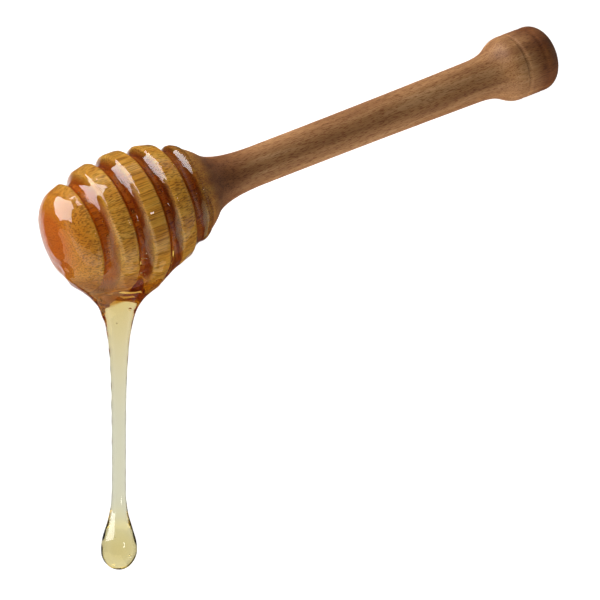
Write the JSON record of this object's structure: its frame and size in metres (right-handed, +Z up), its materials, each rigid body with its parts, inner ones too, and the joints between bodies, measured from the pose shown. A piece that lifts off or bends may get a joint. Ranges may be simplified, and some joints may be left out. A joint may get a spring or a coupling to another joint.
{
  "type": "honey dipper",
  "caption": "Turned wooden honey dipper lying down, its grooved head coated in clear amber honey, with a long drip of honey that ends in a drop.",
  "frame": {"origin": "centre of the part's bounding box on the surface it rests on", "axes": "+X from the nose of the head to the knob, +Z up, the drip points to -Y"},
  "size_m": [0.1764, 0.1026, 0.034],
  "materials": {
    "wood": "smooth, lightly oiled",
    "honey": "clear, wet gloss"
  },
  "bodies": {
    "root": {"dipper": "wood", "honey": "honey"}
  },
  "joints": []
}
